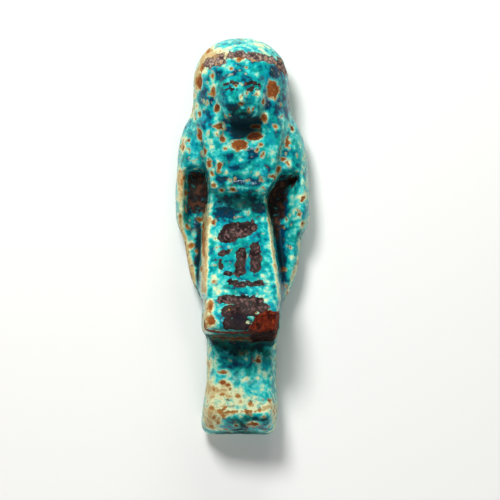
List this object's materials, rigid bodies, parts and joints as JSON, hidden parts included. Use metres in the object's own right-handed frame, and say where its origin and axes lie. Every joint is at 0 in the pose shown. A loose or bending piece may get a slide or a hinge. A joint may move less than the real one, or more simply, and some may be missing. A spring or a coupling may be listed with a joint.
{
  "type": "ushabti figurine",
  "caption": "Small moulded faience funerary figure in a wig and a kilt with a projecting apron; flat back, chipped hem, lies on its back.",
  "frame": {"origin": "on the surface that the figure lies on, under the middle of its length and width", "axes": "+Y from the soles towards the crown, +Z out of the front of the figure, +X to the right of someone who looks at its front"},
  "size_m": [0.0306, 0.09, 0.024],
  "materials": {
    "faience": "glossy turquoise alkaline glaze, thin and cream on the edges, with brown paint and bare brown body where it is worn"
  },
  "bodies": {
    "root": {"ushabti": "faience"}
  },
  "joints": []
}
